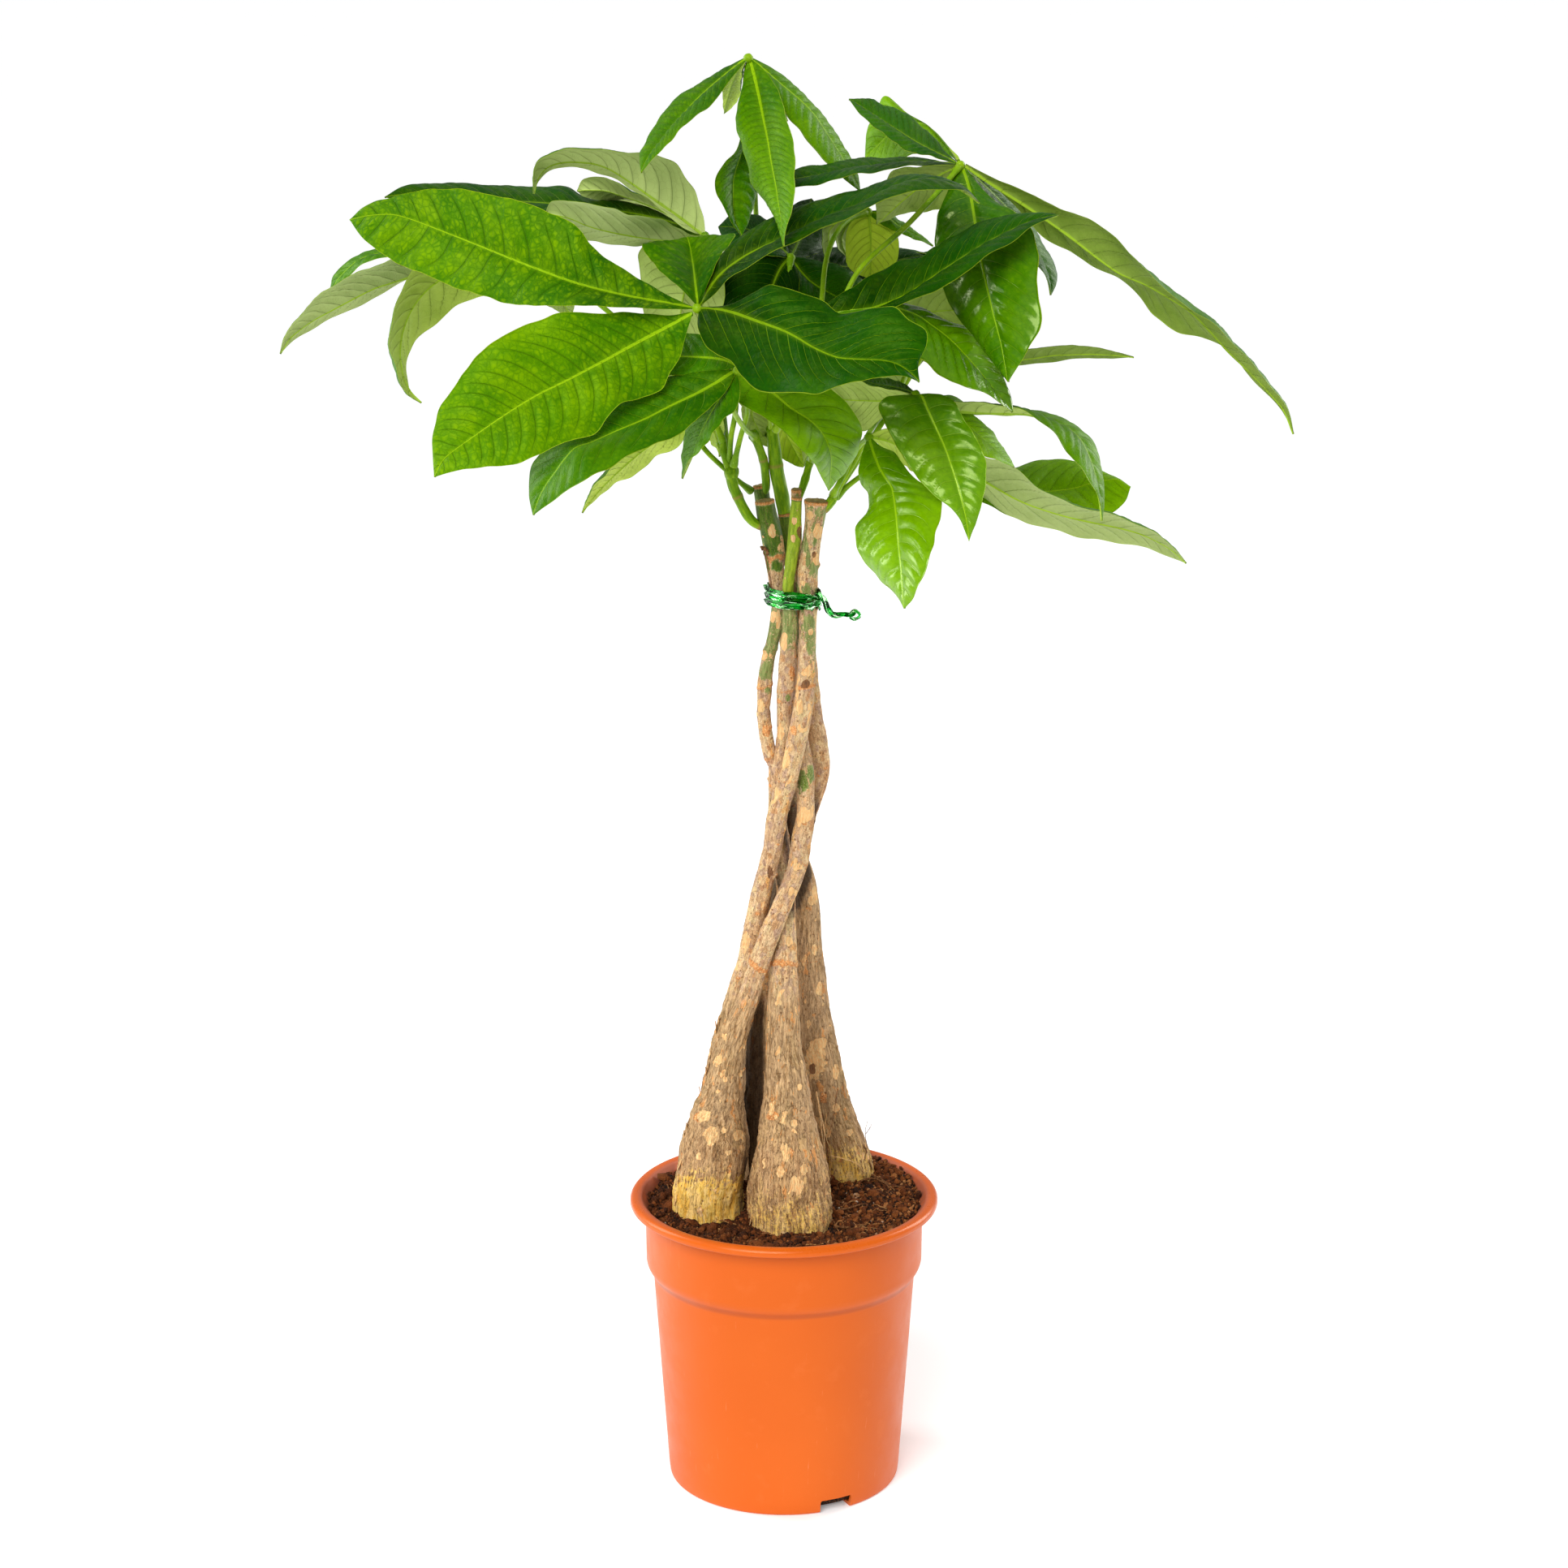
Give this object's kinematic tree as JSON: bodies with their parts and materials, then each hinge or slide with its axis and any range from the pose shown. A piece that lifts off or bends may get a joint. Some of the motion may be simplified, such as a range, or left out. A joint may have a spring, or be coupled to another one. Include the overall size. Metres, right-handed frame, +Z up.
{
  "type": "potted money tree",
  "caption": "Braided money tree in a nursery pot: plaited woody trunks, green shoots and a crown of large palmate leaves.",
  "frame": {"origin": "centre of the pot's flat underside, which stands on z = 0", "axes": "+Z up along the pot's axis, -Y to the front of the plant as pictured, +X to its right"},
  "size_m": [0.5918, 0.3178, 0.8775],
  "materials": {
    "pot_plastic": "satin",
    "soil": "matte crumbly",
    "bark": "rough fibrous",
    "green_stem": "satin",
    "green_foil": "metallic",
    "leaf": "satin"
  },
  "bodies": {
    "root": {"leaf_back_centre": "leaf", "leaf_back_left": "leaf", "leaf_back_right": "leaf", "leaf_back_top": "leaf", "leaf_centre": "leaf", "leaf_core": "leaf", "leaf_far_right": "leaf", "leaf_front": "leaf", "leaf_left": "leaf", "leaf_low_centre": "leaf", "leaf_low_left": "leaf", "leaf_low_right": "leaf", "leaf_mid_right": "leaf", "leaf_right": "leaf", "leaf_top": "leaf", "leaf_upper_left": "leaf", "leaf_upper_right": "leaf", "leaf_young": "leaf", "pot": "pot_plastic", "shoot_centre": "green_stem", "shoot_left": "green_stem", "shoot_mid_left": "green_stem", "shoot_mid_right": "green_stem", "shoot_right": "green_stem", "soil": "soil", "trunk_back": "bark", "trunk_front_centre": "bark", "trunk_front_left": "bark", "trunk_left_back": "bark", "trunk_right": "bark", "twist_tie": "green_foil"}
  },
  "joints": []
}
